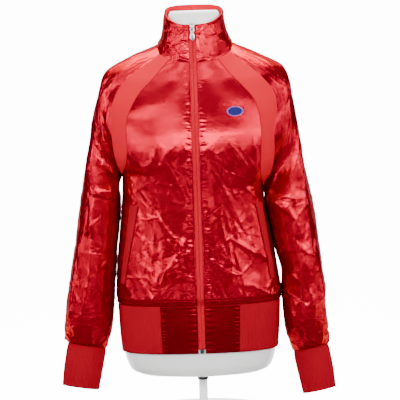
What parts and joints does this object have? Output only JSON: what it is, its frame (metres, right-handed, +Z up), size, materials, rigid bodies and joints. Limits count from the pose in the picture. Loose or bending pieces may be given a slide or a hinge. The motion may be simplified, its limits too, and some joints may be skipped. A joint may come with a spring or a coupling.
{
  "type": "track jacket on a dress form",
  "caption": "Shiny satin raglan track jacket, zipped to the chin, with matte knit inserts, cuffs and waistband, on a limbless dress form with a round stand.",
  "frame": {"origin": "centre of the round base's underside, on the floor", "axes": "+Z up, the jacket's front faces -Y, +X towards the wearer's left"},
  "size_m": [0.573, 0.3, 0.8613],
  "materials": {
    "satin": "crinkled shiny satin",
    "insert_knit": "matte fine knit",
    "rib_knit": "matte rib knit",
    "zip_tape": "woven tape",
    "zip_metal": "polished metal",
    "black_plastic": "moulded",
    "form_shell": "smooth gloss",
    "stand_paint": "white powder coat"
  },
  "bodies": {
    "jacket_on_form": {"front_right": "satin", "front_left": "satin", "back": "satin", "insert_right": "insert_knit", "insert_left": "insert_knit", "sleeve_right": "satin", "sleeve_left": "satin", "cuff_right": "rib_knit", "cuff_left": "rib_knit", "collar": "satin", "collar_facing": "insert_knit", "hem_tab_right": "satin", "hem_tab_left": "satin", "hem_rib": "rib_knit", "welt_right": "rib_knit", "welt_left": "rib_knit", "zip_tape_right": "zip_tape", "zip_tape_left": "zip_tape", "zip_slider": "zip_metal", "zip_slider_arch": "zip_metal", "zip_stop": "black_plastic", "form": "form_shell", "form_fitting": "black_plastic", "form_pole": "stand_paint", "form_base": "stand_paint"},
    "pull": {"zip_pull": "zip_metal"}
  },
  "joints": [
    {"name": "pull_swing", "type": "hinge", "parent": "jacket_on_form", "child": "pull", "pos_m": [0, -0.05779, 0.8125], "axis": [-1, 0, 0], "range_deg": [0, 165]}
  ]
}
